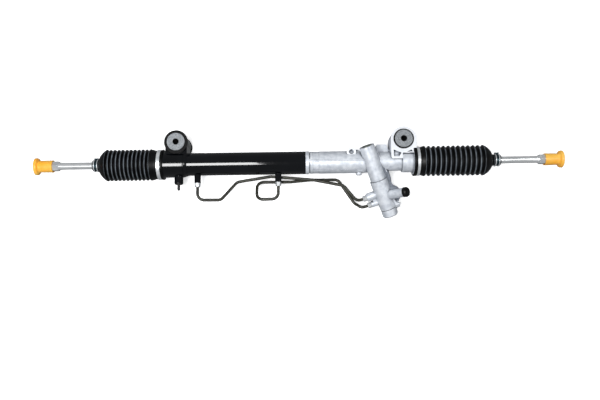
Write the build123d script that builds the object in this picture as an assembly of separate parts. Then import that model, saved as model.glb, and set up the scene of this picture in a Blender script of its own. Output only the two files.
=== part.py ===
from build123d import *
from math import acos, cos, pi, radians, sin, tan
import os

# Hydraulic rack-and-pinion steering gear of a right-hand-drive pickup.
# All sizes are millimetres. The gear is modelled about the rack's own axis, which is
# the X axis, with X = 0 abreast of the pinion-side mount, +Y towards the two mounts
# and +Z towards the side that the pinion is on. save() then moves every piece once,
# so that the origin is the middle of the pinion-side mount's bore.
# A station is a distance along X. In the pinion tower, a depth is a distance along
# the pinion's axis from the rack, growing towards the steering column.
os.makedirs("parts", exist_ok=True)

# Clearances
running = 0.05
seal_gap = 0.30
screw_gap = 0.10

# Overall places
mount_spacing = 477.0
mount_rise = 44.0
pinion_station = -66.0
boot_seat_right = 20.6
housing_end_right = 43.0
tube_shoulder = -206.0
left_joint_from_mount = 14.0
left_boot_seat_from_mount = 27.5
left_end_from_mount = 48.0

# Rack bar, travel and teeth
rack_radius = 13.0
rack_length = 716.0
stop_room = 2.0
rest_share = 1 / 9
tooth_module = 1.8
pressure_angle = 20.0
pinion_teeth = 8
profile_shift = 0.53
backlash = 0.15
rack_tip_height = 9.3
pinion_tip_radius = 9.6
tooth_slant = 19.5
tower_tilt = 22.0
teeth_run_out = 10.0
rack_end_bore = 8.0
rack_end_bore_depth = 24.0

# Hydraulic cylinder
tube_radius = 24.0
tube_bore = 20.5
tube_in_end_housing = 26.0
port_left_from_mount = 42.6
port_middle_from_shoulder = 58.2
port_boss_radius = 6.8
port_boss_reach = 40.5
port_drill = 2.5
piston_width = 16.0
piston_groove_width = 4.0
piston_groove_depth = 1.8
spigot_length = 18.0
bushing_length = 21.0
seal_length = 8.0
snap_ring_width = 1.6
snap_ring_depth = 1.2

# Rack housing
housing_radius = 23.5
ring_radius = 24.4
ring_width = 7.2
groove_radius = 22.3
groove_width = 2.3
neck_radius = 19.6
neck_start = -58.0
body_end = -84.0
collar_start = -2.8
collar_radius = 23.4
boot_seat_radius = 28.0
rack_bore = 15.0
parting_rib_width = 2.4
parting_rib_height = 0.8
lower_rib_angle = -54.0
land_start = -191.0
land_length = 13.0
land_depth = 0.5

# Pinion-side mount lug, bracket lug and the web behind the tower
lug_radius = 27.0
lug_front = 22.0
lug_rear = -28.0
lug_foot = 2.0
lug_heel = 14.0
lug_corner = 5.0
lug_boot_gap = 0.4
boot_lip_height = 3.4
pocket_depth = 7.0
bracket_station = -110.0
bracket_rise = 18.4
bracket_front = 20.0
bracket_radius = 10.0
bracket_hole = 5.0
bracket_hole_depth = 9.0
bump_offset = 13.0
bump_radius = 7.0
bump_front = 9.0
web_left = -56.0
web_top = 38.5
web_front = -4.0
web_rear = -20.0
plug_boss_station = -94.0
plug_boss_radius = 6.0
plug_boss_reach = 28.0

# Pinion tower, its bearings and cap
tower_top = 38.5
tower_top_radius = 16.0
tower_seam = 37.0
tower_seam_radius = 16.6
tower_back_top_radius = 12.5
tower_back_radius = 18.0
tower_back_x = 5.0
tower_back_y = -15.0
pinion_bore_gap = 1.1
pinion_face = 32.0
flange_thickness = 9.0
ear_radius = 8.0
ear_distance = 26.0
ear_angles = (-40.0, -105.0)
flange_bolt_radius = 4.0
flange_bolt_length = 22.0
bolt_head_across = 12.0
bolt_head_height = 5.5
end_bearing_bore = 7.0
end_bearing_radius = 11.5
end_bearing_width = 10.0
end_bearing_depth = 30.0
valve_bearing_bore = 7.5
valve_bearing_radius = 14.0
valve_bearing_width = 7.0
valve_bearing_depth = 29.5
bearing_ring_share = 0.32
cap_plate = 3.6
cap_hex = 14.0
cap_hex_depth = 2.5

# Rack guide
guide_radius = 14.0
guide_length = 12.0
guide_pocket_radius = 8.5
guide_pocket_depth = 4.0
guide_tower_radius = 17.5
guide_tower_reach = 29.0
guide_screw_reach = 35.0
guide_screw_length = 8.5
guide_lock_width = 4.5
guide_lock_across = 33.0
guide_screw_hex = 12.0
disc_spring_thickness = 1.2

# Valve housing and valve
valve_top_radius = 18.6
valve_foot_radius = 16.9
valve_foot = 103.0
seam_groove = 1.1
foot_groove = 1.5
foot_groove_radius = 15.4
input_collar_radius = 16.4
input_collar_end = 121.0
input_collar_chamfer = 2.5
valve_bore = 15.0
valve_bore_end = 104.0
input_seat_radius = 12.5
input_bearing_length = 6.5
input_seal_length = 4.5
ear_plate_end = 49.0
ear_gusset_end = 63.0
sleeve_start = 50.0
sleeve_end = 92.0
sleeve_wall = 4.4
sleeve_ring_count = 4
sleeve_ring_width = 1.6
sleeve_ring_depth = 1.0
rotor_grooves = 6
rotor_groove_radius = 1.6
input_shaft_radius = 9.0
input_shaft_end = 120.2
serration_length = 6.0
serration_count = 30
serration_depth = 0.7
tongue_length = 6.0
tongue_wide = 16.0
tongue_thick = 5.6
tongue_play = 0.8
torsion_bar_radius = 2.6
torsion_head_radius = 3.2
torsion_head_length = 12.0
torsion_bar_start = 8.0
cross_pin_radius = 1.5
cross_pin_depth = 109.0
cross_pin_play = 0.35
sleeve_pin_radius = 1.2

# Ports of the valve housing: depth down the tower, reach from the pinion's axis,
# boss radius, threaded bore radius
pipe_port_depths = (66.5, 83.5)
pipe_port_reaches = (35.5, 30.5)
pipe_port_radii = (9.0, 6.9)
pipe_port_bore = 4.9
pipe_port_bore_depth = 12.0
pressure_port_depth = 74.0
pressure_port_angle = 38.0
pressure_port_reach = 51.0
pressure_port_radius = 9.5
pressure_port_bore = 7.2
return_port_depth = 101.0
return_port_reach = 25.5
return_port_radius = 7.6
return_port_bore = 5.5
port_bore_depth = 12.0
port_block_step = 5.0
port_web_thick = 6.0
port_web_scoop = 12.0
port_web_step = 3.0
port_web_angle = 18.0

# Pipes and their nuts
pipe_radius = 3.2
pipe_bend = 14.0
pipe_loop_drop = 76.5
left_pipe_run = 48.5
left_pipe_rise_end = 82.0
left_pipe_drop = 37.0
left_pipe_peak_end = 154.0
left_pipe_peak_drop = 26.0
left_pipe_gather_from_pinion = 124.0
left_pipe_turn_from_pinion = 60.0
left_pipe_turn_drop = 48.5
left_pipe_depth = 14.0
middle_pipe_run = 46.0
middle_pipe_drop = 37.0
middle_pipe_peak_start = 26.0
middle_pipe_peak_end = 68.0
middle_pipe_peak_drop = 33.0
middle_pipe_gather_from_pinion = 71.0
middle_pipe_turn_from_pinion = 37.0
middle_pipe_turn_drop = 84.0
middle_pipe_depth = 24.0
pipe_port_run = 22.0
nut_across = 11.0
nut_length = 8.5
nut_shank_radius = 4.7
nut_shank_length = 8.0

# End housing
end_radius = 27.5
end_cone_length = 8.5
end_cone_radius = 24.8
end_seat_radius = 28.5
eye_radius = 23.4
eye_front = 21.0
eye_rear = -33.0
stud_boss_radius = 9.4
stud_boss_reach = 41.3
stud_from_mount = 3.0
stud_radius = 3.0
stud_reach = 55.4
stud_collar_radius = 7.8
stud_collar_height = 1.6

# Mount bushes
bush_bore = 6.2
bush_core_radius = 10.0
bush_shell_radius = 19.0
bush_shell_wall = 1.6
bush_front = 26.0
bush_rear = -38.0
bush_plate_radius = 18.5
bush_plate = 2.0
bush_flange_right = 21.2
bush_flange_left = 24.8

# Inner tie-rod joints and tie rods
socket_length = 22.0
ball_radius = 13.0
seat_wall = 2.0
socket_radius = 18.0
mouth_angle = 57.0
tab_thickness = 1.5
rod_neck_radius = 6.0
rod_neck_end = 26.0
rod_radius = 7.3
rod_flare_radius = 9.0
rod_flare_length = 4.0
thread_radius = 6.9
thread_end = 168.0
jam_nut_across = 19.0
jam_nut_length = 14.0
jam_nut_right = 132.0
jam_nut_left = 122.5
clip_from_ball = 44.0
clip_width = 9.0
clip_wall = 1.2
clip_groove = 0.7

# Thread caps: outline from the mouth
cap_radius = 12.6
cap_flange_radius = 18.3
cap_length = 36.8
cap_body_length = 28.5
cap_flare_length = 3.0
cap_mouth_radius = 11.3
cap_mouth_depth = 12.0
cap_end_wall = 2.0
cap_mouth_right = 144.2
cap_mouth_left = 134.8

# Boots
boot_wall = 1.8
right_folds = 13
left_folds = 12
boot_lip_width = 5.4
band_width = 7.0
band_wall = 1.1
boot_neck_wall = 3.4
right_crest = 32.0
right_valley = 27.4
right_first_crest = 43.8
right_last_crest_from_ball = 13.5
right_cone_end_from_ball = 33.0
left_crest = 33.0
left_valley = 28.2
left_first_crest = 55.2
left_last_crest_from_ball = 20.3
left_cone_end_from_ball = 39.0

# Port cap
port_cap_radius = 10.6
port_cap_height = 9.5
port_cap_dome = 4.0
port_cap_shank = 10.0

# Worked out from the sizes above
left_mount = -mount_spacing
left_joint = left_mount + left_joint_from_mount
left_seat = left_mount - left_boot_seat_from_mount
left_end = left_mount - left_end_from_mount
tube_left_end = left_joint - tube_in_end_housing
left_port = left_mount + port_left_from_mount
middle_port = tube_shoulder - port_middle_from_shoulder
boot_middle = (left_end + housing_end_right) / 2
travel = rack_length - (housing_end_right - left_end) - 2 * stop_room
rest_shift = travel * rest_share
rack_middle = boot_middle + rest_shift
ball_from_middle = rack_length / 2 + socket_length
travel_left = travel / 2 + rest_shift
travel_right = travel / 2 - rest_shift
piston_station = (left_port + middle_port) / 2 + rest_shift
pitch_radius = tooth_module * pinion_teeth / 2
rack_pitch_height = rack_tip_height - tooth_module
pinion_offset = rack_pitch_height + pitch_radius + profile_shift * tooth_module
pinion_bore = pinion_tip_radius + pinion_bore_gap
spigot_end = tube_shoulder - spigot_length
sleeve_bore = valve_bore - 2 * running - sleeve_wall
rotor_radius = sleeve_bore - running
seat_radius = ball_radius + running + seat_wall

# Directions in the pinion tower: the tower's axis, the way it faces, and across it
slant = radians(tooth_slant)
tilt = radians(tower_tilt)
up_tower = Vector(-sin(slant), cos(slant) * cos(tilt), cos(slant) * sin(tilt))
facing = Vector(0, -sin(tilt), cos(tilt))
across = up_tower.cross(facing)
crossing = Vector(pinion_station, 0, 0)
tower = Plane(origin=crossing + facing * pinion_offset, x_dir=across, z_dir=up_tower * -1)
guide_frame = Plane(origin=crossing, x_dir=across, z_dir=facing * -1)


def save(name, shape):
    """Moves a piece from the rack's axis to the mount's and writes it."""
    middle = (bush_front + bush_rear) / 2
    export_step(Pos(0, -mount_rise, -middle) * shape, f"parts/{name}.step")


def turned(*outline):
    """A solid turned about the rack's axis from (station, radius) points."""
    return revolve(make_face(Polyline(*outline, close=True)), Axis.X)


def ring(start, end, inner, outer):
    """A plain ring about the rack's axis."""
    return turned((start, inner), (end, inner), (end, outer), (start, outer))


def bar(start, end, radius):
    """A plain round bar on the rack's axis."""
    return turned((start, 0), (end, 0), (end, radius), (start, radius))


def spun(*outline):
    """A solid turned about the tower's axis from (radius, depth) points."""
    return revolve(Plane.XZ * make_face(Polyline(*outline, close=True)), Axis.Z)


def spun_ring(start, end, inner, outer):
    """A plain ring about the tower's axis."""
    return spun((inner, start), (outer, start), (outer, end), (inner, end))


def post(x, y, start, end, radius):
    """A round post that stands along Z."""
    seat = (Align.CENTER, Align.CENTER, Align.MIN)
    return Pos(x, y, start) * Cylinder(radius, end - start, align=seat)


def downward(station, start, end, radius):
    """A round post that points down, away from the mounts, at a station."""
    seat = (Align.CENTER, Align.CENTER, Align.MIN)
    return Pos(station, -start, 0) * Rot(90, 0, 0) * Cylinder(radius, end - start, align=seat)


def block(x0, x1, y0, y1, z0, z1):
    """A rectangular block between two corners."""
    centre = Pos((x0 + x1) / 2, (y0 + y1) / 2, (z0 + z1) / 2)
    return centre * Box(x1 - x0, y1 - y0, z1 - z0)


def in_tower(shape):
    """Places a piece that was made about the tower's axis."""
    return tower.location * shape


def port(depth, angle, start, end, radius):
    """A round post square to the tower's axis; angle turns it towards the facing side."""
    seat = (Align.CENTER, Align.CENTER, Align.MIN)
    post_shape = Pos(0, 0, start) * Cylinder(radius, end - start, align=seat)
    return Pos(0, 0, depth) * Rot(0, 0, angle) * Rot(0, 90, 0) * post_shape


def hexagon(across_flats, height, start=0.0):
    """A hexagonal block that stands along Z, with its corners chamfered at both ends."""
    prism = extrude(RegularPolygon(across_flats / 2, 6, major_radius=False), height)
    corner = across_flats / 2 / cos(pi / 6)
    bevel = 0.8 * (corner - across_flats / 2)
    cone = spun((0, 0), (corner - bevel, 0), (corner, bevel), (corner, height - bevel),
                (corner - bevel, height), (0, height))
    return Pos(0, 0, start) * (prism & cone)


def polar(distance, angle):
    """A point at a distance and an angle from the tower's axis."""
    return distance * cos(radians(angle)), distance * sin(radians(angle))


def link_plate(radius, spot, spot_radius, start, end):
    """A plate that wraps the tower's axis and a round ear beside it."""
    ear = Pos(*spot) * Circle(spot_radius)
    outline = make_hull(Circle(radius).edges() + ear.edges())
    return Pos(0, 0, start) * extrude(outline, end - start)


def mirrored_left(shape):
    """The left-hand twin of a piece that rides on the right end of the rack."""
    return mirror(shape, Plane(origin=(rack_middle, 0, 0), z_dir=(1, 0, 0)))


# Rack housing, an aluminium casting
def housing_outside():
    groove_start = tube_shoulder + ring_width
    groove_end = groove_start + groove_width
    spine = turned(
        (spigot_end, 0), (spigot_end, tube_bore), (tube_shoulder, tube_bore),
        (tube_shoulder, ring_radius), (groove_start, ring_radius),
        (groove_start, groove_radius), (groove_end, groove_radius),
        (groove_end, housing_radius), (body_end, housing_radius), (neck_start, neck_radius),
        (collar_start, neck_radius), (collar_start, collar_radius),
        (boot_seat_right, collar_radius), (boot_seat_right, boot_seat_radius),
        (housing_end_right - 2, boot_seat_radius), (housing_end_right, boot_seat_radius - 2),
        (housing_end_right, 0))
    land = ring(land_start, land_start + land_length, housing_radius - land_depth, housing_radius + 5)
    return spine - land


def pinion_tower_outside():
    front = spun((0, -tower_top), (tower_top_radius, -tower_top), (tower_seam_radius, tower_seam),
                 (0, tower_seam))
    back_start = -tower_top + 12
    back_end = tower_seam - flange_thickness
    top, foot = tower_back_top_radius, tower_back_radius
    back = spun((0, back_start), (top, back_start), (foot, back_end), (0, back_end))
    cheek = make_face(Polyline((-top, back_start), (top, back_start), (foot, back_end),
                               (-foot, back_end), close=True))
    back = Pos(0, tower_back_y, 0) * back + Plane.XZ * extrude(cheek, -tower_back_y)
    shape = front + Pos(tower_back_x, 0, 0) * back
    for angle in ear_angles:
        spot = polar(ear_distance, angle)
        shape += link_plate(tower_seam_radius - 0.3, spot, ear_radius,
                            tower_seam - flange_thickness, tower_seam)
    return in_tower(shape)


def guide_tower_outside():
    return guide_frame.location * post(0, 0, 0, guide_tower_reach, guide_tower_radius)


def mount_lug():
    outline = Pos(0, mount_rise) * Circle(lug_radius)
    foot = Pos(0, (mount_rise + lug_heel) / 2) * Rectangle(2 * lug_radius, mount_rise - lug_heel)
    toe_width = lug_radius + collar_start
    toe = Rectangle(toe_width, mount_rise - lug_foot)
    toe = Pos(-lug_radius + toe_width / 2, (mount_rise + lug_foot) / 2) * toe
    corner = toe.vertices().sort_by(Axis.Y)[:2].sort_by(Axis.X)[0]
    foot += fillet(corner, lug_corner)
    lug = Pos(0, 0, lug_rear) * extrude(outline + foot, lug_front - lug_rear)
    edge = lug_radius - 5.6
    top = mount_rise - lug_radius + 4
    deep = make_face(Polyline((-edge, top), (-5.5, top - 6.5), (-10.5, top - 14.5),
                              (-edge, top - 14.0), close=True))
    small = make_face(Polyline((6, top - 5), (15.5, top - 0.5), (18.5, top - 4), close=True))
    for pocket in (deep, small):
        lug -= Pos(0, 0, lug_front - pocket_depth) * extrude(pocket, pocket_depth)
    return lug


def bracket_lug():
    boss = post(bracket_station, bracket_rise, 0, bracket_front, bracket_radius)
    bump = post(bracket_station + bump_offset, bracket_rise, 0, bump_front, bump_radius)
    web = block(bracket_station - bracket_radius + 1, bracket_station + bump_offset, 0, bracket_rise, 0,
                bump_front)
    return boss + bump + web


def tower_web():
    outline = make_face(Polyline((web_left, 0), (web_left, web_top - 3), (web_left + 3, web_top),
                                 (-lug_radius - 6, web_top), (-lug_radius - 2, web_top - 12),
                                 (-lug_radius + 6, web_top - 16), (-lug_radius + 6, 0), close=True))
    return Pos(0, 0, web_rear) * extrude(outline, web_front - web_rear)


def parting_rib(angle):
    start = tube_shoulder + ring_width + groove_width
    rib = block(start, body_end, -parting_rib_width / 2, parting_rib_width / 2, rack_bore + 4,
                housing_radius + parting_rib_height)
    return Rot(angle * -1, 0, 0) * rib


def rack_housing():
    shape = housing_outside() + pinion_tower_outside() + guide_tower_outside()
    shape += mount_lug() + bracket_lug() + tower_web()
    shape += downward(plug_boss_station, rack_bore + 3, plug_boss_reach, plug_boss_radius)
    shape += parting_rib(0) + parting_rib(lower_rib_angle)
    shape -= bar(spigot_end - 1, housing_end_right + 1, rack_bore)
    shape -= ring(housing_end_right - 12, housing_end_right + 1, 0, socket_radius + 2)
    shape -= ring(boot_seat_right - lug_boot_gap, housing_end_right + 1, boot_seat_radius,
                  boot_seat_radius + boot_lip_height + 1)
    shape -= post(0, mount_rise, lug_rear - 1, lug_front + 1, bush_shell_radius)
    shape -= post(bracket_station, bracket_rise, bracket_front - bracket_hole_depth, bracket_front + 1,
                  bracket_hole)
    cap_seat = -end_bearing_depth + end_bearing_width
    bores = post(0, 0, -tower_top - 1, cap_seat, end_bearing_radius)
    bores += post(0, 0, -end_bearing_depth, valve_bearing_depth, pinion_bore)
    bores += post(0, 0, valve_bearing_depth, tower_seam + 1, valve_bearing_radius)
    for angle in ear_angles:
        spot = polar(ear_distance, angle)
        bores += post(*spot, tower_seam - flange_thickness - 1, tower_seam + 1, flange_bolt_radius)
    shape -= in_tower(bores)
    shape -= guide_frame.location * post(0, 0, 0, guide_tower_reach + 1, guide_radius)
    return shape


# Valve housing, an aluminium casting bolted to the tower's seam
def valve_outside():
    groove_end = valve_foot + foot_groove
    seam_end = tower_seam + seam_groove
    shape = spun((0, tower_seam), (tower_seam_radius - seam_groove, tower_seam),
                 (tower_seam_radius - seam_groove, seam_end), (valve_top_radius, seam_end),
                 (valve_foot_radius, valve_foot),
                 (foot_groove_radius, valve_foot), (foot_groove_radius, groove_end),
                 (input_collar_radius, groove_end),
                 (input_collar_radius, input_collar_end - input_collar_chamfer),
                 (input_collar_radius - input_collar_chamfer, input_collar_end),
                 (0, input_collar_end))
    for angle in ear_angles:
        spot = polar(ear_distance, angle)
        shape += link_plate(tower_seam_radius - 0.3, spot, ear_radius, tower_seam, ear_plate_end)
    for depth, reach, radius in zip(pipe_port_depths, pipe_port_reaches, pipe_port_radii):
        shape += port(depth, 180, 0, reach, radius)
    shape += port(pressure_port_depth, pressure_port_angle, 0, pressure_port_reach, pressure_port_radius)
    shape += port(return_port_depth, 0, 0, return_port_reach, return_port_radius)
    between = pipe_port_depths
    half = pipe_port_radii[1] - 1
    shape += block(-pipe_port_reaches[1] + port_block_step, 0, -half, half, between[0], between[1])
    return shape + port_web()


def port_web():
    """The web between the two hose ports, scooped out on its outer edge."""
    top = pressure_port_depth
    reach = return_port_reach + port_web_step
    plate = make_face(Polyline((0, top), (reach, top), (reach, return_port_depth), (0, return_port_depth),
                               close=True))
    scoop = Pos(reach + port_web_step, (top + return_port_depth) / 2) * Circle(port_web_scoop)
    web = Plane.XZ * extrude(plate - scoop, port_web_thick / 2, both=True)
    return Rot(0, 0, port_web_angle) * web


def gussets():
    """Ribs that run from the bolt ears down into the valve housing's wall."""
    angle = ear_angles[0]
    reach = ear_distance + ear_radius - 3
    rib = make_face(Polyline((valve_top_radius - 6, ear_plate_end), (reach, ear_plate_end),
                             (valve_top_radius - 2, ear_gusset_end), (valve_top_radius - 6, ear_gusset_end),
                             close=True))
    return Rot(0, 0, angle - 14) * (Plane.XZ * extrude(rib, 3, both=True))


def port_bore(depth, angle, reach, bore, bore_depth):
    thread = port(depth, angle, reach - bore_depth, reach + 1, bore)
    return thread + port(depth, angle, valve_bore - 2, reach, port_drill)


def valve_housing():
    shape = valve_outside() + gussets()
    bores = post(0, 0, tower_seam - 1, valve_bore_end, valve_bore)
    bores += post(0, 0, valve_bore_end - 1, input_collar_end + 1, input_seat_radius)
    for depth, reach in zip(pipe_port_depths, pipe_port_reaches):
        bores += port_bore(depth, 180, reach, pipe_port_bore, pipe_port_bore_depth)
    bores += port_bore(pressure_port_depth, pressure_port_angle, pressure_port_reach,
                       pressure_port_bore, port_bore_depth)
    bores += port_bore(return_port_depth, 0, return_port_reach, return_port_bore, port_bore_depth)
    for angle in ear_angles:
        spot = polar(ear_distance, angle)
        bores += post(*spot, tower_seam - 1, ear_plate_end + 1, flange_bolt_radius)
        bores += post(*spot, ear_plate_end, ear_gusset_end + 4, bolt_head_across / 2 / cos(pi / 6) + 0.6)
    return in_tower(shape - bores)


def flange_bolts():
    bolts = []
    for angle in ear_angles:
        spot = polar(ear_distance, angle)
        shank = post(0, 0, ear_plate_end - flange_bolt_length + 1, ear_plate_end, flange_bolt_radius)
        head = hexagon(bolt_head_across, bolt_head_height, ear_plate_end)
        bolts.append(in_tower(Pos(*spot) * (shank + head)))
    return Compound(bolts)


# Steel cylinder with its two port bosses
def cylinder_tube():
    shape = bar(tube_left_end, tube_shoulder, tube_radius)
    for station in (left_port, middle_port):
        shape += downward(station, tube_bore + 1, port_boss_reach, port_boss_radius)
    shape -= bar(tube_left_end - 1, tube_shoulder + 1, tube_bore)
    for station in (left_port, middle_port):
        floor = port_boss_reach - nut_shank_length - 1
        shape -= downward(station, floor, port_boss_reach + 1, nut_shank_radius)
        shape -= downward(station, tube_bore - 2, port_boss_reach, port_drill)
    return shape


# End housing, a black iron casting with the far mount's eye
def end_housing():
    joint = left_joint
    shape = turned(
        (left_end, 0), (left_end, end_seat_radius - 2), (left_end + 2, end_seat_radius),
        (left_seat, end_seat_radius), (left_seat, end_radius), (joint, end_radius),
        (joint, end_radius - 0.8), (joint + 1.2, end_radius - 0.8), (joint + 1.2, end_radius - 0.3),
        (joint + end_cone_length * 0.55, end_cone_radius + 0.9), (joint + end_cone_length, end_cone_radius),
        (joint + end_cone_length, 0))
    eye = post(left_mount, mount_rise, eye_rear, eye_front, eye_radius)
    foot = block(left_mount - eye_radius + 1, left_mount + eye_radius - 1, 6, mount_rise - 6,
                 eye_rear + 8, eye_front - 1)
    boss = downward(left_mount + stud_from_mount, tube_radius, stud_boss_reach, stud_boss_radius)
    shape += eye + foot + boss
    shape -= bar(left_end - 1, joint + end_cone_length + 1, rack_radius + 1)
    shape -= bar(left_end + 4, left_end + 4 + bushing_length - 5, seal_shell_left())
    shape -= bar(left_end + 4 + bushing_length - 5, tube_left_end, tube_bore - 1)
    shape -= bar(tube_left_end, joint + end_cone_length + 1, tube_radius)
    shape -= post(left_mount, mount_rise, eye_rear - 1, eye_front + 1, bush_shell_radius)
    shape -= downward(left_mount + stud_from_mount, stud_boss_reach - 10, stud_boss_reach + 1, stud_radius)
    return shape


def seal_shell_left():
    """Outer radius of the bushing at the far end."""
    return rack_radius + 4.5


def line_stud():
    """A stud with its pressed collar, which holds a pipe clip of the vehicle."""
    station = left_mount + stud_from_mount
    collar = downward(station, stud_boss_reach, stud_boss_reach + stud_collar_height, stud_collar_radius)
    return collar + downward(station, stud_boss_reach - 10, stud_reach, stud_radius)


# Rack bearings and seals in the cylinder
def inner_bushing():
    start = spigot_end - 0.3 - bushing_length
    return ring(start, start + bushing_length, rack_radius + running, tube_bore)


def inner_seal():
    end = spigot_end - 0.3 - bushing_length - snap_ring_width
    return ring(end - seal_length, end, rack_radius + running, tube_bore)


def inner_snap_ring():
    end = spigot_end - 0.3 - bushing_length
    return ring(end - snap_ring_width, end, rack_radius + 3, tube_bore)


def outer_bushing():
    start = left_end + 4
    return ring(start, start + bushing_length - 5, rack_radius + running, seal_shell_left())


def outer_seal():
    start = left_end + 4 + bushing_length - 5
    return ring(start, start + seal_length, rack_radius + running, tube_bore - 1)


# Rack, piston and inner joints
def comb():
    """The row of tooth spaces, as a prism whose length lies along the pinion's axis."""
    pitch = pi * tooth_module
    tip = rack_tip_height - pinion_offset
    root = tip - 2.25 * tooth_module
    flare = 2 * tan(radians(pressure_angle))
    tip_space = pitch / 2 + tooth_module * flare
    root_space = pitch / 2 - 1.25 * tooth_module * flare
    first = -int((travel_right + teeth_run_out) * cos(slant) / pitch)
    last = int((travel_left + teeth_run_out) * cos(slant) / pitch)
    over = rack_radius - rack_tip_height + 1
    points = [((first - 0.7) * pitch, tip + over), ((first - 0.7) * pitch, tip)]
    for number in range(first, last + 1):
        middle = number * pitch
        points += [(middle - tip_space / 2, tip), (middle - root_space / 2, root),
                   (middle + root_space / 2, root), (middle + tip_space / 2, tip)]
    points += [((last + 0.7) * pitch, tip), ((last + 0.7) * pitch, tip + over)]
    reach = (travel_left + teeth_run_out) * sin(slant) + 2 * rack_radius
    return in_tower(extrude(make_face(Polyline(*points, close=True)), reach, both=True))


def rack_bar():
    start = rack_middle - rack_length / 2
    end = rack_middle + rack_length / 2
    shape = turned((start, 0), (start, rack_radius - 1), (start + 1, rack_radius),
                   (end - 1, rack_radius), (end, rack_radius - 1), (end, 0))
    shape -= bar(start - 1, start + rack_end_bore_depth, rack_end_bore)
    shape -= bar(end - rack_end_bore_depth, end + 1, rack_end_bore)
    return shape - comb()


def piston():
    start = piston_station - piston_width / 2
    end = start + piston_width
    outer = tube_bore - 0.4
    groove = (start + end - piston_groove_width) / 2
    shape = ring(start, end, rack_radius, outer)
    return shape - ring(groove, groove + piston_groove_width, outer - piston_groove_depth, outer + 1)


def piston_ring():
    start = piston_station - piston_groove_width / 2
    inner = tube_bore - 0.4 - piston_groove_depth
    return ring(start, start + piston_groove_width, inner, tube_bore - running)


def ball_station():
    return rack_middle + ball_from_middle


def socket():
    centre = ball_station()
    mouth = radians(mouth_angle)
    cavity = seat_radius + running
    mouth_x = centre + cavity * cos(mouth)
    mouth_r = cavity * sin(mouth)
    back = centre - socket_length + tab_thickness
    shape = turned((back - rack_end_bore_depth, 0), (back - rack_end_bore_depth, rack_end_bore),
                   (back, rack_end_bore), (back, rack_radius + 1), (back + 4, rack_radius + 1),
                   (back + 5, socket_radius), (centre + 3, socket_radius), (mouth_x, mouth_r + 1.4),
                   (mouth_x, 0))
    shape -= Pos(centre, 0, 0) * Sphere(cavity)
    return shape


def tab_washer():
    start = rack_middle + rack_length / 2
    return ring(start, start + tab_thickness, rack_end_bore, rack_radius + 2)


def spherical_shell(centre, inner, outer, open_angle):
    """A spherical cup that leaves a cone of the given half angle open outwards."""
    shell = Pos(centre, 0, 0) * (Sphere(outer) - Sphere(inner))
    reach = outer * 1.6
    cone = turned((centre, 0), (centre + reach * cos(radians(open_angle)), reach * sin(radians(open_angle))),
                  (centre + reach * 1.2, reach * sin(radians(open_angle))), (centre + reach * 1.2, 0))
    return shell - cone


def ball_seat():
    return spherical_shell(ball_station(), ball_radius + running, seat_radius, mouth_angle)


def tie_rod(thread_start):
    centre = ball_station()
    clip = centre + clip_from_ball
    flare = centre + thread_start - rod_flare_length
    rod = turned(
        (centre, 0), (centre, rod_neck_radius), (centre + rod_neck_end - 6, rod_neck_radius),
        (centre + rod_neck_end, rod_radius), (clip - clip_width / 2, rod_radius),
        (clip - clip_width / 2, rod_radius - clip_groove), (clip + clip_width / 2, rod_radius - clip_groove),
        (clip + clip_width / 2, rod_radius), (flare, rod_radius),
        (flare + rod_flare_length, rod_flare_radius),
        (centre + thread_start, thread_radius), (centre + thread_end - 1, thread_radius),
        (centre + thread_end, thread_radius - 1), (centre + thread_end, 0))
    return rod + Pos(centre, 0, 0) * Sphere(ball_radius)


def jam_nut(thread_start):
    start = ball_station() + thread_start
    nut = hexagon(jam_nut_across, jam_nut_length) - post(0, 0, -1, jam_nut_length + 1, thread_radius)
    return Pos(start, 0, 0) * Rot(0, 90, 0) * nut


def boot_neck_radius():
    return rod_radius + seal_gap + boot_neck_wall


def boot_clip():
    clip = ball_station() + clip_from_ball
    inner = boot_neck_radius() + seal_gap
    band = ring(clip - clip_width / 2, clip + clip_width / 2, inner, inner + clip_wall)
    ears = block(clip - clip_width / 2, clip + clip_width / 2, inner, inner + 4.5, -2.6, -1.4)
    ears += block(clip - clip_width / 2, clip + clip_width / 2, inner, inner + 4.5, 1.4, 2.6)
    return band + ears


def thread_cap(mouth):
    start = ball_station() + mouth
    body_end_x = start + cap_body_length
    flare_end = body_end_x + cap_flare_length
    end = start + cap_length
    grip = thread_radius + screw_gap
    return turned(
        (start, cap_mouth_radius), (start, cap_radius + 0.2), (body_end_x, cap_radius - 0.3),
        (body_end_x + 1.2, cap_radius + 0.6), (flare_end, cap_flange_radius - 0.8),
        (flare_end + 2, cap_flange_radius), (end, cap_flange_radius), (end, cap_flange_radius - 1.6),
        (flare_end + 3, cap_radius), (flare_end + 3, grip + 1.6), (end, grip + 1.6), (end, 0),
        (end - cap_end_wall, 0), (end - cap_end_wall, grip), (start + cap_mouth_depth, grip),
        (start + cap_mouth_depth, cap_mouth_radius))


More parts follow.
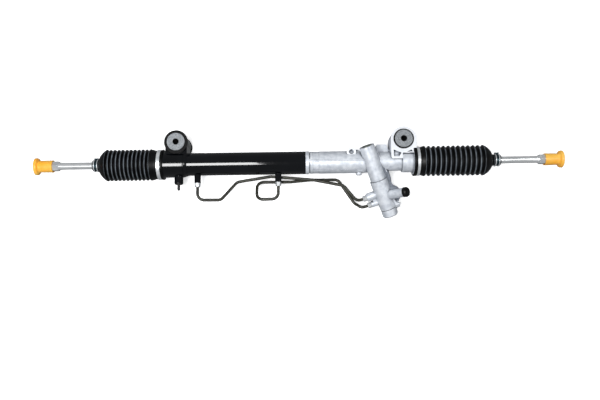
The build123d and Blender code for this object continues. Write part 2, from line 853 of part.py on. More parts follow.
# Boots, bands and clips
def boot(seat_radius_here, crest, valley, folds, first, last, cone_end):
    """A bellows boot that runs along +X from its seat at zero."""
    neck = boot_neck_radius()
    neck_end = cone_end + clip_from_cone()
    bore = seat_radius_here
    lip = bore + boot_lip_height
    band_floor = bore + boot_wall
    outside = [(0, bore), (0, lip - 1.0), (1.5, lip), (boot_lip_width - 1, lip),
               (boot_lip_width, band_floor), (boot_lip_width + band_width, band_floor),
               (boot_lip_width + band_width + 1, band_floor + 0.8)]
    pitch = (last - first) / (folds - 1)
    for number in range(folds):
        x = first + number * pitch
        outside += [(x - pitch * 0.12, crest), (x + pitch * 0.12, crest)]
        if number < folds - 1:
            outside += [(x + pitch * 0.44, valley), (x + pitch * 0.56, valley)]
    outside += [(cone_end, neck), (neck_end, neck)]
    fold_points = [(x, r - boot_wall) for x, r in outside[7:-2]]
    inside = [(neck_end, neck - boot_neck_wall), (cone_end + 1, neck - boot_neck_wall)]
    inside += fold_points[::-1] + [(boot_lip_width + band_width, bore)]
    return turned(*outside, *inside)


def clip_from_cone():
    """How far a boot's neck runs on from its cone, over the clip."""
    return clip_width + 4.0


def right_boot():
    start = boot_seat_right
    ball = ball_station() - start
    shape = boot(boot_seat_radius, right_crest, right_valley, right_folds, right_first_crest - start,
                 ball + right_last_crest_from_ball, ball + right_cone_end_from_ball)
    return Pos(start, 0, 0) * shape


def left_boot():
    ball = left_seat - (rack_middle - ball_from_middle)
    first = left_first_crest - left_boot_seat_from_mount
    shape = boot(end_seat_radius, left_crest, left_valley, left_folds, first,
                 ball + left_last_crest_from_ball, ball + left_cone_end_from_ball)
    return Pos(left_seat, 0, 0) * mirror(shape, Plane.YZ)


def boot_band(seat, side, bore):
    inner = bore + boot_wall
    start = seat + side * boot_lip_width
    end = start + side * band_width
    return ring(min(start, end), max(start, end), inner, inner + band_wall)


# Mount bushes
def bush_core(station):
    core = post(station, mount_rise, bush_rear, bush_front, bush_core_radius)
    core += post(station, mount_rise, bush_front - bush_plate, bush_front, bush_plate_radius)
    core += post(station, mount_rise, bush_rear, bush_rear + bush_plate, bush_plate_radius)
    return core - post(station, mount_rise, bush_rear - 1, bush_front + 1, bush_bore)


def bush_rubber(station, front, rear, flange):
    inner_shell = bush_shell_radius - bush_shell_wall
    body = post(station, mount_rise, rear, front, inner_shell)
    body += post(station, mount_rise, front, bush_front - bush_plate, flange)
    body += post(station, mount_rise, bush_rear + bush_plate, rear, flange)
    return body - post(station, mount_rise, bush_rear - 1, bush_front + 1, bush_core_radius)


def bush_shell(station, front, rear):
    shell = post(station, mount_rise, rear, front, bush_shell_radius)
    return shell - post(station, mount_rise, rear - 1, front + 1, bush_shell_radius - bush_shell_wall)


# Pinion, bearings and tower cap
def involute(angle):
    return tan(angle) - angle


def tooth_half_angle(radius):
    """Half the angle that a pinion tooth spans at a radius."""
    base = pitch_radius * cos(radians(pressure_angle))
    shifted = 2 * profile_shift * tooth_module * tan(radians(pressure_angle))
    width = pi * tooth_module / 2 + shifted - backlash
    return width / (2 * pitch_radius) + involute(radians(pressure_angle)) - involute(acos(base / radius))


def pinion_profile():
    base = pitch_radius * cos(radians(pressure_angle))
    root = pitch_radius - tooth_module * (1.25 - profile_shift)
    steps = 5
    radii = [base + (pinion_tip_radius - base) * (i / (steps - 1)) ** 1.3 for i in range(steps)]
    half_angles = [tooth_half_angle(max(radius, base + 1e-6)) for radius in radii]
    flank = [(root, half_angles[0])] + list(zip(radii, half_angles))
    points = []
    for tooth in range(pinion_teeth):
        middle = -pi / 2 + tooth * 2 * pi / pinion_teeth
        side = [(radius, middle - half) for radius, half in flank]
        side += [(radius, middle + half) for radius, half in flank[::-1]]
        points += [(radius * cos(turn), radius * sin(turn)) for radius, turn in side]
    return make_face(Polyline(*points, close=True))


def pinion_shaft():
    half = pinion_face / 2
    journal_start = -end_bearing_depth - 0.5
    head_start = valve_bearing_depth + valve_bearing_width
    head_radius = rotor_radius + 2.4
    shape = Pos(0, 0, -half) * extrude(pinion_profile(), pinion_face)
    shape += spun((0, journal_start), (end_bearing_bore - 1, journal_start),
                  (end_bearing_bore, journal_start + 1), (end_bearing_bore, -half), (0, -half))
    shape += spun((0, half), (valve_bearing_bore, half), (valve_bearing_bore, head_start),
                  (head_radius - 2, head_start), (head_radius, head_start + 1), (head_radius, sleeve_start),
                  (sleeve_bore, sleeve_start), (sleeve_bore, sleeve_start + 4), (0, sleeve_start + 4))
    slot_start = sleeve_start + 4 - tongue_length
    shape -= block(-tongue_wide / 2 - 0.5, tongue_wide / 2 + 0.5, -tongue_thick / 2 - tongue_play,
                   tongue_thick / 2 + tongue_play, slot_start - 0.6, sleeve_start + 5)
    shape -= post(0, 0, torsion_bar_start, sleeve_start + 5, torsion_head_radius)
    shape -= port(sleeve_start + 2, 45, sleeve_bore - 4, sleeve_bore + 3, sleeve_pin_radius)
    return in_tower(shape)


def bearing_rings(start, width, bore, radius):
    """Inner ring, outer ring and the closed cage of a rolling bearing."""
    wall = (radius - bore) * bearing_ring_share
    inner = spun_ring(start, start + width, bore, bore + wall)
    outer = spun_ring(start, start + width, radius - wall, radius)
    cage = spun_ring(start + 0.6, start + width - 0.6, bore + wall + running, radius - wall)
    return in_tower(inner), in_tower(outer), in_tower(cage)


def end_bearing():
    start = -end_bearing_depth
    return in_tower(spun_ring(start, start + end_bearing_width, end_bearing_bore + running,
                              end_bearing_radius))


def tower_cap():
    top = -tower_top
    skirt_bore = end_bearing_radius - 2.4
    cap = spun((0, top), (end_bearing_radius, top), (end_bearing_radius, -end_bearing_depth),
               (skirt_bore, -end_bearing_depth), (skirt_bore, top + cap_plate), (0, top + cap_plate))
    socket_cut = Pos(0, 0, top) * extrude(RegularPolygon(cap_hex / 2, 6, major_radius=False), cap_hex_depth)
    return in_tower(cap - socket_cut)


# Valve
def valve_sleeve():
    outer = sleeve_bore + sleeve_wall
    shape = spun_ring(sleeve_start, sleeve_end, sleeve_bore, outer)
    for start in sleeve_ring_starts():
        shape -= spun_ring(start, start + sleeve_ring_width, outer - sleeve_ring_depth, outer + 1)
    shape -= port(sleeve_start + 2, 45, sleeve_bore - 1, outer + 1, sleeve_pin_radius)
    return in_tower(shape)


def sleeve_ring_starts():
    room = sleeve_end - sleeve_start - 8
    step = room / (sleeve_ring_count - 1)
    return [sleeve_start + 4 + number * step - sleeve_ring_width / 2 for number in range(sleeve_ring_count)]


def sleeve_rings():
    outer = sleeve_bore + sleeve_wall
    rings = [in_tower(spun_ring(start, start + sleeve_ring_width, outer - sleeve_ring_depth,
                                valve_bore - running)) for start in sleeve_ring_starts()]
    return Compound(rings)


def sleeve_pin():
    outer = sleeve_bore + sleeve_wall
    return in_tower(port(sleeve_start + 2, 45, sleeve_bore - 4, outer, sleeve_pin_radius))


def torsion_bar():
    end = input_shaft_end - 4
    head = torsion_bar_start + torsion_head_length
    top = end - torsion_head_length
    bore = torsion_head_radius - running
    shape = spun((0, torsion_bar_start), (torsion_head_radius, torsion_bar_start),
                 (torsion_head_radius, head),
                 (torsion_bar_radius, head + 2), (torsion_bar_radius, top - 2), (bore, top),
                 (bore, end), (0, end))
    shape -= Pos(0, 0, cross_pin_depth) * Rot(0, 90, 0) * Cylinder(cross_pin_radius + cross_pin_play, 30)
    return in_tower(shape)


def serrated_end():
    tip = input_shaft_radius - 0.2
    root = tip - serration_depth
    step = pi / serration_count
    points = []
    for number in range(serration_count):
        turn = 2 * number * step
        points += [(tip * cos(turn), tip * sin(turn)), (root * cos(turn + step), root * sin(turn + step))]
    start = input_shaft_end - serration_length
    return Pos(0, 0, start) * extrude(make_face(Polyline(*points, close=True)), serration_length)


def input_shaft():
    tongue_start = sleeve_start + 4 - tongue_length
    rotor_start = sleeve_start + 4.4
    rotor = post(0, 0, rotor_start, sleeve_end, rotor_radius)
    for number in range(rotor_grooves):
        spot = polar(rotor_radius + 0.4, number * 360 / rotor_grooves)
        rotor -= post(*spot, rotor_start + 5, sleeve_end - 5, rotor_groove_radius)
    shape = rotor + post(0, 0, sleeve_end, input_shaft_end - serration_length, input_shaft_radius)
    shape += serrated_end()
    shape += block(-tongue_wide / 2, tongue_wide / 2, -tongue_thick / 2, tongue_thick / 2, tongue_start,
                   rotor_start + 1)
    shape -= post(0, 0, tongue_start - 1, input_shaft_end - 3, torsion_head_radius)
    shape -= Pos(0, 0, cross_pin_depth) * Rot(0, 90, 0) * Cylinder(cross_pin_radius, 30)
    return in_tower(shape)


def cross_pin():
    pin = Cylinder(cross_pin_radius, 2 * (input_shaft_radius - 0.3))
    return in_tower(Pos(0, 0, cross_pin_depth) * Rot(0, 90, 0) * pin)


def input_bearing():
    start = valve_bore_end
    return in_tower(spun_ring(start, start + input_bearing_length, input_shaft_radius + running,
                              input_seat_radius))


def input_seal():
    start = valve_bore_end + input_bearing_length
    return in_tower(spun_ring(start, start + input_seal_length, input_shaft_radius + running,
                              input_seat_radius))


def input_snap_ring():
    start = valve_bore_end + input_bearing_length + input_seal_length
    return in_tower(spun_ring(start, start + snap_ring_width, input_seat_radius - snap_ring_depth * 1.6,
                              input_seat_radius))


# Rack guide
def at_guide(shape):
    return guide_frame.location * shape


def guide_start():
    return guide_screw_reach - guide_screw_length - 1.8 - guide_length


def rack_guide():
    start = guide_start()
    end = start + guide_length
    body = post(0, 0, start - 6, end, guide_radius)
    body -= post(0, 0, end - guide_pocket_depth, end + 1, guide_pocket_radius)
    body = at_guide(body)
    return body - bar(pinion_station - 30, pinion_station + 30, rack_radius + running)


def disc_springs():
    base = guide_start() + guide_length - guide_pocket_depth
    room = guide_screw_reach - guide_screw_length - base
    gap = (room - 2 * disc_spring_thickness) / 2
    rings = []
    for flip in (0, 1):
        low = base + flip * (disc_spring_thickness + gap)
        high = low + gap
        inner_z = high if flip == 0 else low
        outer_z = low if flip == 0 else high
        profile = spun((3.5, inner_z), (guide_pocket_radius - 0.4, outer_z),
                       (guide_pocket_radius - 0.4, outer_z + disc_spring_thickness),
                       (3.5, inner_z + disc_spring_thickness))
        rings.append(at_guide(profile))
    return Compound(rings)


def guide_screw():
    start = guide_screw_reach - guide_screw_length
    screw = post(0, 0, start, guide_screw_reach, guide_radius)
    outline = RegularPolygon(guide_screw_hex / 2, 6, major_radius=False)
    cut = Pos(0, 0, guide_screw_reach - 4) * extrude(outline, 5)
    return at_guide(screw - cut)


def guide_lock_nut():
    nut = hexagon(guide_lock_across, guide_lock_width, guide_tower_reach)
    return at_guide(nut - post(0, 0, guide_tower_reach - 1, guide_screw_reach + 1, guide_radius))


# Pipes
def pipe(points):
    """A steel pipe along straight runs joined by bends."""
    path = FilletPolyline(*points, radius=pipe_bend)
    start = Plane(origin=path @ 0, z_dir=path % 0)
    return sweep(start * Circle(pipe_radius), path=path)


def tower_point(x, y, depth):
    """A point given in the tower's own directions."""
    return tower.from_local_coords(Vector(x, y, depth))


def left_port_pipe():
    start = -(port_boss_reach - nut_shank_length)
    reach = pipe_port_reaches[0]
    depth = pipe_port_depths[0]
    back = -left_pipe_depth
    return [
        (left_port, start, 0), (left_port, -pipe_loop_drop, 0),
        (left_port + left_pipe_run, -pipe_loop_drop, back * 0.3),
        (left_port + left_pipe_rise_end, -left_pipe_drop, back),
        (left_port + left_pipe_peak_end, -left_pipe_peak_drop, back),
        (pinion_station - left_pipe_gather_from_pinion, -left_pipe_drop + 2, back * 0.86),
        (pinion_station - left_pipe_turn_from_pinion, -left_pipe_turn_drop, back * 0.72),
        tower_point(-reach - pipe_port_run, 0, depth), tower_point(-reach + nut_shank_length, 0, depth)]


def middle_port_pipe():
    start = -(port_boss_reach - nut_shank_length)
    reach = pipe_port_reaches[1]
    depth = pipe_port_depths[1]
    back = -middle_pipe_depth
    return [
        (middle_port, start, 0), (middle_port, -pipe_loop_drop, 0),
        (middle_port - middle_pipe_run, -pipe_loop_drop, back * 0.2),
        (middle_port - middle_pipe_run, -middle_pipe_drop, back * 0.84),
        (middle_port + middle_pipe_peak_start, -middle_pipe_drop, back * 0.92),
        (middle_port + middle_pipe_peak_end, -middle_pipe_peak_drop, back),
        (pinion_station - middle_pipe_gather_from_pinion, -middle_pipe_peak_drop, back * 1.04),
        (pinion_station - middle_pipe_turn_from_pinion, -middle_pipe_turn_drop, back * 1.17),
        tower_point(-reach - pipe_port_run, 0, depth), tower_point(-reach + nut_shank_length, 0, depth)]


def pipe_nut():
    """A pipe nut whose shank goes down into its port and whose head stands up."""
    shape = post(0, 0, -nut_shank_length, 0, nut_shank_radius) + hexagon(nut_across, nut_length)
    return shape - post(0, 0, -nut_shank_length - 1, nut_length + 1, pipe_radius)


def pipe_nuts():
    nuts = []
    for station in (left_port, middle_port):
        nuts.append(Pos(station, -port_boss_reach, 0) * Rot(90, 0, 0) * pipe_nut())
    for depth, reach in zip(pipe_port_depths, pipe_port_reaches):
        nuts.append(in_tower(Pos(-reach, 0, depth) * Rot(0, -90, 0) * pipe_nut()))
    return Compound(nuts)


def port_cap():
    """The plug that closes the pressure port, domed on its outside."""
    start = pressure_port_reach + seal_gap
    end = start + port_cap_height
    shank = pressure_port_bore - seal_gap
    foot = start - port_cap_shank
    plug = spun((0, foot), (shank - 1, foot), (shank, foot + 1),
                (shank, start), (port_cap_radius, start), (port_cap_radius, end - port_cap_dome),
                (port_cap_radius * 0.86, end - port_cap_dome * 0.35), (port_cap_radius * 0.5, end), (0, end))
    return in_tower(Pos(0, 0, pressure_port_depth) * Rot(0, 0, pressure_port_angle) * Rot(0, 90, 0) * plug)


def main():
    save("rack_housing", rack_housing())
    save("valve_housing", valve_housing())
    save("valve_housing_bolts", flange_bolts())
    save("cylinder_tube", cylinder_tube())
    save("end_housing", end_housing())
    save("line_clip_stud", line_stud())
    save("inner_rack_bushing", inner_bushing())
    save("inner_rack_seal", inner_seal())
    save("snap_rings", Compound([inner_snap_ring(), input_snap_ring()]))
    save("outer_rack_bushing", outer_bushing())
    save("outer_rack_seal", outer_seal())
    save("rack_bar", rack_bar())
    save("piston", piston())
    save("piston_ring", piston_ring())
    save("tab_washers", Compound([tab_washer(), mirrored_left(tab_washer())]))
    for side, place in (("right", lambda shape: shape), ("left", mirrored_left)):
        save(f"{side}_tie_rod_socket", place(socket()))
        save(f"{side}_ball_seat", place(ball_seat()))
        nut, mouth = (jam_nut_right, cap_mouth_right) if side == "right" else (jam_nut_left, cap_mouth_left)
        save(f"{side}_tie_rod", place(tie_rod(nut)))
        save(f"{side}_jam_nut", place(jam_nut(nut)))
        save(f"{side}_boot_clip", place(boot_clip()))
        save(f"{side}_thread_cap", place(thread_cap(mouth)))
    save("right_boot", right_boot())
    save("left_boot", left_boot())
    save("right_boot_band", boot_band(boot_seat_right, 1, boot_seat_radius))
    save("left_boot_band", boot_band(left_seat, -1, end_seat_radius))
    bushes = (("right", 0, lug_front, lug_rear, bush_flange_right),
              ("left", left_mount, eye_front, eye_rear, bush_flange_left))
    for side, station, front, rear, flange in bushes:
        save(f"{side}_bush_core", bush_core(station))
        save(f"{side}_bush_rubber", bush_rubber(station, front, rear, flange))
        save(f"{side}_bush_shell", bush_shell(station, front, rear))
    save("pinion_shaft", pinion_shaft())
    save("end_bearing", end_bearing())
    inner, outer, cage = bearing_rings(valve_bearing_depth, valve_bearing_width, valve_bearing_bore,
                                       valve_bearing_radius)
    save("valve_bearing_inner_ring", inner)
    save("valve_bearing_outer_ring", outer)
    save("valve_bearing_cage", cage)
    save("tower_cap", tower_cap())
    save("valve_sleeve", valve_sleeve())
    save("valve_sleeve_rings", sleeve_rings())
    save("sleeve_pin", sleeve_pin())
    save("torsion_bar", torsion_bar())
    save("input_shaft", input_shaft())
    save("torsion_bar_pin", cross_pin())
    save("input_needle_bearing", input_bearing())
    save("input_dust_seal", input_seal())
    save("rack_guide", rack_guide())
    save("guide_springs", disc_springs())
    save("guide_screw", guide_screw())
    save("guide_lock_nut", guide_lock_nut())
    save("left_port_pipe", pipe(left_port_pipe()))
    save("middle_port_pipe", pipe(middle_port_pipe()))
    save("pipe_nuts", pipe_nuts())
    save("pressure_port_cap", port_cap())


main()
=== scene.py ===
# %% [markdown]
# # A hydraulic steering rack, dressed around its CAD frame
# The CAD model gives every solid its true size and place. This script adds what a CAD
# program does badly: the soft folds of the rubber boots, a wandering web on the valve
# housing, and the finish of every surface. All lengths are millimetres, in a frame whose
# origin is the middle of the right mount's bore, and MM turns them into Blender's metres.

# %% Load the frame and note its box
import bpy
import numpy as np
from mathutils import Matrix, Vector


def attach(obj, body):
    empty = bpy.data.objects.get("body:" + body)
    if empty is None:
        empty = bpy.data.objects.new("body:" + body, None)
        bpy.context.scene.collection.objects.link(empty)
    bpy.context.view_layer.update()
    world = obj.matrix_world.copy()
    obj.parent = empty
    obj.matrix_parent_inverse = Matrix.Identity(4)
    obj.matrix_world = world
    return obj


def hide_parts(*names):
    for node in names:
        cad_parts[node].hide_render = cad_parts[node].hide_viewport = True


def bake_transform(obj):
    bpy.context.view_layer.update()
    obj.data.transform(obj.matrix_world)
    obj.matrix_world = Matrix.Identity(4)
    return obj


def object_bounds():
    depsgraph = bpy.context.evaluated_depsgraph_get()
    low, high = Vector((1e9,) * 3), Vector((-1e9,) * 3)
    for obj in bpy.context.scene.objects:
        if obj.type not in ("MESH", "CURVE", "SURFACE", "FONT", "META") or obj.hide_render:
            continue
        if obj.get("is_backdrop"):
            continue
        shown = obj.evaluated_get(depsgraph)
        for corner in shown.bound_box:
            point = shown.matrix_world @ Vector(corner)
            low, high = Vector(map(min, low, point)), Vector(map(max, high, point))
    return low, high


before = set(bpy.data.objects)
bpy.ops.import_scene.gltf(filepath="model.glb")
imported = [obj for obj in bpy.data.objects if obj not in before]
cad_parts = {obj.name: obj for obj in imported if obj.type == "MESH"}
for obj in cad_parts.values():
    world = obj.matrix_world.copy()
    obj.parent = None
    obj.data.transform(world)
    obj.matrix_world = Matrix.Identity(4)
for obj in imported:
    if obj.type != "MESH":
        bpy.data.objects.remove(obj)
cad_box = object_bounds()
MM = 0.001
AXIS_Y, AXIS_Z = -44.0, 6.0

# %% [markdown]
# ## Camera
# The gear was photographed from almost straight above, from 1.34 m away. A camera can be
# placed by hand or worked out. Here its place follows from a target point, an elevation and
# a distance, so each can be corrected by itself, and a small roll tips the far end down.

# %% Camera
ELEVATION, DISTANCE, ROLL = 81.5, 1340.0, 0.84
TARGET = np.array([-219.0, -123.5, 6.0])
VIEW_WIDTH = 1260.0
CLIP_END = 20000.0


def camera_axes(elevation, roll):
    """Right, up and backward vectors of a camera that looks along +Y and down by the
    elevation e, and is turned about its line of sight by the roll r: up = (0, sin e, cos e),
    back = (0, -cos e, sin e), then right = cos r * right - sin r * up, and up likewise."""
    e, r = np.radians([elevation, roll])
    right, up = np.array([1.0, 0, 0]), np.array([0, np.sin(e), np.cos(e)])
    back = np.array([0, -np.cos(e), np.sin(e)])
    return np.cos(r) * right - np.sin(r) * up, np.sin(r) * right + np.cos(r) * up, back


axes = camera_axes(ELEVATION, ROLL)
place = np.eye(4)
place[:3, :3] = np.column_stack(axes)
place[:3, 3] = (TARGET + DISTANCE * axes[2]) * MM
camera = bpy.data.objects.new("camera", bpy.data.cameras.new("camera"))
camera.data.lens = camera.data.sensor_width * DISTANCE / VIEW_WIDTH
camera.data.clip_end = CLIP_END * MM
camera.matrix_world = Matrix(place.tolist())
bpy.context.scene.collection.objects.link(camera)
bpy.context.scene.camera = camera
bpy.context.scene.view_settings.view_transform = "Standard"
print("lens", round(camera.data.lens, 2), "mm")

# %% [markdown]
# ## Helpers
# Three small functions carry the rest. A colour is written as the hex code that a screen
# shows, and is turned into the linear light that shaders work in. A node is added with its
# settings and its links in one call. A mesh comes from whole arrays of points and faces.


# %% Colour, node and mesh helpers
def linear(hex_colour, alpha=1.0):
    """An sRGB hex colour as linear light: c/12.92 when dark, else ((c+0.055)/1.055)^2.4."""
    c = np.array([int(hex_colour[i:i + 2], 16) for i in (1, 3, 5)]) / 255
    return (*np.where(c <= 0.04045, c / 12.92, ((c + 0.055) / 1.055) ** 2.4), alpha)


def add_node(tree, kind, sockets=None, **settings):
    """Adds a node, sets its settings, and links or sets its sockets."""
    node = tree.nodes.new(kind)
    for name, value in settings.items():
        setattr(node, name, value)
    for name, value in (sockets or {}).items():
        if isinstance(value, bpy.types.NodeSocket):
            tree.links.new(value, node.inputs[name])
        else:
            node.inputs[name].default_value = value
    return node


def mesh_piece(name, points, faces, smooth=True):
    """A new object from an (n, 3) array in millimetres and rows of corner numbers."""
    mesh = bpy.data.meshes.new(name)
    corner_rows = [list(map(int, face)) for face in faces]
    mesh.from_pydata((np.asarray(points) * MM).tolist(), [], corner_rows)
    mesh.polygons.foreach_set("use_smooth", np.full(len(mesh.polygons), smooth))
    mesh.update()
    piece = bpy.data.objects.new(name, mesh)
    bpy.context.scene.collection.objects.link(piece)
    return piece


# %% [markdown]
# ## Floor and light
# The gear lies on a white sheet that shows no edge. A sheet that other surfaces don't see
# keeps their undersides dark. Four soft lamps make the picture: a strip over the cylinder
# draws the long highlight on its enamel, a window behind fills the castings without being
# mirrored in the paint, and two small strips light the plated rods at the ends.

# %% Floor
FLOOR_HALF, FLOOR_GAP = 6000.0, 0.2
corners = np.array([[-1, -1, 0], [1, -1, 0], [1, 1, 0], [-1, 1, 0]]) * FLOOR_HALF
corners[:, 2] = cad_box[0][2] / MM - FLOOR_GAP
floor = mesh_piece("floor", corners, np.array([[0, 1, 2, 3]]), smooth=False)
floor.visible_diffuse = floor.visible_glossy = False
floor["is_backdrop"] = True
print("floor at", round(corners[0, 2], 1), "mm")

# %% Lamps and world
WORLD_STRENGTH = 0.24


def softbox(name, centre, aim, width, depth, watts):
    """A rectangular area light at a place, turned to face a point: back = centre - aim, side =
    a line close to +Y crossed with back, up = back crossed with side."""
    light = bpy.data.lights.new(name, "AREA")
    light.shape, light.size, light.size_y = "RECTANGLE", width * MM, depth * MM
    light.energy = watts
    lamp = bpy.data.objects.new(name, light)
    bpy.context.scene.collection.objects.link(lamp)
    back = np.subtract(centre, aim).astype(float)
    back /= np.linalg.norm(back)
    side = np.cross([0, 1.0, 0.001], back)
    side /= np.linalg.norm(side)
    turn = np.eye(4)
    turn[:3, :3] = np.column_stack([side, np.cross(back, side), back])
    turn[:3, 3] = np.array(centre) * MM
    lamp.matrix_world = Matrix(turn.tolist())
    return lamp


softbox("strip_over_cylinder", (-620, -330, 1330), (-350, -60, 0), 460, 540, 19)
window = softbox("window_side", (100, 1500, 1100), (-100, -40, 0), 1600, 800, 5)
window.visible_glossy = False
softbox("strip_over_right_rod", (740, -180, 1330), (260, -44, 6), 620, 420, 6.5)
softbox("strip_over_left_rod", (-1130, -560, 1300), (-690, -44, 6), 460, 420, 1.2)
world = bpy.data.worlds.new("studio")
bpy.context.scene.world = world
world.use_nodes = True
sky = world.node_tree.nodes["Background"]
sky.inputs["Color"].default_value = linear("#F4F7FA")
sky.inputs["Strength"].default_value = WORLD_STRENGTH
print("lamps", len(bpy.data.lights))

# %% [markdown]
# ## One surface for every finish
# Every finish is a small node tree on Object coordinates, so a pattern keeps its real size:
# a scale is one over the grain's width in metres. `surface` lays down what all of them share:
# a colour that drifts between two tones, a roughness that drifts with it, and a fine grain
# in the bump. What a finish has of its own is added after that.

# %% The shared surface
# A colour Mix node's sockets go by number, because several of them share a name.
FACTOR, COLOUR_A, COLOUR_B, COLOUR_OUT = 0, 6, 7, 2
TONE_STOPS = (0.32, 0.68)
ROUGHNESS_STOPS = (0.3, 0.7)
# How far and how strongly the painted shade in inside corners reaches.
SHADE_REACH, SHADE_STOPS = 6.0, (0.40, 0.92)


def surface(name, dark, pale, blotch, grain, depth, roughness, metallic=0.0, edge=0.0,
            painted_corner_shade=None, **sockets):
    """A Principled surface. blotch and grain are widths in millimetres of the slow colour
    drift and the fine relief, depth is the relief's height, roughness is the span that the
    drift covers, edge is the radius that sharp edges look rounded by, and painted_corner_shade
    is the tone of painted shade that inside corners darken to."""
    material = bpy.data.materials.new(name)
    material.use_nodes = True
    tree = material.node_tree
    shader = tree.nodes["Principled BSDF"]
    where = add_node(tree, "ShaderNodeTexCoord").outputs["Object"]
    drift = add_node(tree, "ShaderNodeTexNoise", {"Vector": where, "Scale": 1000 / blotch, "Detail": 5.0})
    tone = add_node(tree, "ShaderNodeValToRGB", {"Fac": drift.outputs["Fac"]})
    for stop, position, shade in zip(tone.color_ramp.elements, TONE_STOPS, (dark, pale)):
        stop.position, stop.color = position, linear(shade)
    colour = tone.outputs["Color"]
    # Painted shade: an ambient-occlusion mask darkens inside corners towards the given tone.
    if painted_corner_shade:
        hollow = add_node(tree, "ShaderNodeAmbientOcclusion", {"Distance": SHADE_REACH * MM}, samples=8)
        inside = add_node(tree, "ShaderNodeMapRange", {
            "Value": hollow.outputs["AO"], "From Min": SHADE_STOPS[0], "From Max": SHADE_STOPS[1]})
        corner_shaded = add_node(tree, "ShaderNodeMix", {
            FACTOR: inside.outputs["Result"], COLOUR_A: linear(painted_corner_shade), COLOUR_B: colour}, data_type="RGBA")
        colour = corner_shaded.outputs[COLOUR_OUT]
    tree.links.new(colour, shader.inputs["Base Color"])
    rough = add_node(tree, "ShaderNodeMapRange", {
        "Value": drift.outputs["Fac"], "From Min": ROUGHNESS_STOPS[0], "From Max": ROUGHNESS_STOPS[1],
        "To Min": roughness[0], "To Max": roughness[1]})
    tree.links.new(rough.outputs["Result"], shader.inputs["Roughness"])
    relief = add_node(tree, "ShaderNodeTexNoise", {"Vector": where, "Scale": 1000 / grain, "Detail": 3.0})
    bump = add_node(tree, "ShaderNodeBump", {
        "Height": relief.outputs["Fac"], "Strength": 1.0, "Distance": depth * MM})
    if edge:
        rounded = add_node(tree, "ShaderNodeBevel", {"Radius": edge * MM}, samples=4)
        tree.links.new(rounded.outputs["Normal"], bump.inputs["Normal"])
    tree.links.new(bump.outputs["Normal"], shader.inputs["Normal"])
    shader.inputs["Metallic"].default_value = metallic
    for socket, value in sockets.items():
        shader.inputs[socket.replace("_", " ")].default_value = value
    return material


def wear(*nodes, material):
    """Gives CAD nodes or new pieces a finish in place of what they came with."""
    for node in nodes:
        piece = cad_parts[node] if isinstance(node, str) else node
        piece.data.materials.clear()
        piece.data.materials.append(material)


# %% [markdown]
# ## Paper, castings and enamel
# The sheet under the gear glows a little, as a lit background does. The two castings are
# aluminium with a sand-blasted skin: half metal, half chalky, with soft edges and painted
# shade that greys their inside corners. The web on the tower's flank is painted greyer still,
# as painted shade. The steel cylinder and the iron end housing wear black enamel, which is
# nearly a mirror, and wavier over the casting than over the drawn tube.

# %% Paper, castings and enamel
floor_paper = surface("floor_paper", "#F6F7F8", "#FCFCFC", 400, 5, 0.0, (0.9, 0.95),
                      Emission_Color=linear("#FFFFFF"), Emission_Strength=0.55)
cast_aluminium = surface("cast_aluminium", "#C2C8D1", "#E0E4EA", 9, 0.9, 0.10, (0.36, 0.54),
                         metallic=0.35, edge=1.2, painted_corner_shade="#484E58")
# Painted shade: the flank web's aluminium is toned darker, standing for the shade along the tower's flank.
flank_painted_shade = surface("flank_painted_shade", "#787E88", "#9CA2AC", 7, 0.9, 0.12, (0.45, 0.62),
                    metallic=0.3, edge=1.2, painted_corner_shade="#484E58")
enamelled_tube = surface("enamelled_tube", "#030406", "#080A0E", 40, 9, 0.004, (0.05, 0.10),
                         edge=0.8, Specular_IOR_Level=0.42)
enamelled_casting = surface("enamelled_casting", "#030406", "#07090C", 20, 2.2, 0.015, (0.08, 0.16),
                            edge=1.8, Specular_IOR_Level=0.42)
wear(floor, material=floor_paper)
wear("rack_housing", "valve_housing", material=cast_aluminium)
wear("cylinder_tube", material=enamelled_tube)
wear("end_housing", material=enamelled_casting)
print("castings and enamel:", len(bpy.data.materials), "materials so far")

# %% [markdown]
# ## Rubber and plastic
# Rubber is black with a weak, broad sheen. The thread caps are a waxy yellow plastic: a
# little light passes under their surface, which a trace of subsurface scattering gives.

# %% Rubber and plastic
moulded_boot_rubber = surface("moulded_boot_rubber", "#030304", "#08090A", 18, 0.8, 0.02, (0.36, 0.50),
                              Specular_IOR_Level=0.18)
bush_rubber = surface("bush_rubber", "#020203", "#070708", 12, 0.8, 0.05, (0.55, 0.7),
                      edge=0.8, Specular_IOR_Level=0.2)
cap_plastic = surface("cap_plastic", "#F6AE35", "#FCC65C", 25, 1.5, 0.02, (0.32, 0.42), edge=0.5,
                      Subsurface_Weight=0.15, Subsurface_Scale=0.004)
port_cap_plastic = surface("port_cap_plastic", "#020202", "#060606", 8, 0.8, 0.04, (0.3, 0.5),
                           edge=0.6, Specular_IOR_Level=0.25)
wear("left_bush_rubber", "right_bush_rubber", material=bush_rubber)
wear("left_thread_cap", "right_thread_cap", material=cap_plastic)
wear("pressure_port_cap", material=port_cap_plastic)
print("rubber and plastic:", len(bpy.data.materials), "materials so far")

# %% [markdown]
# ## Plated and coated steel
# Nuts and bolts are zinc plated, the turned rods are smoother and brighter, and the bands
# have a drawn finish that spreads the lamp into a broad gleam. The clips are dark spring
# steel, the oil pipes have a dull olive-black coat, and the tower's cap is dull grey.

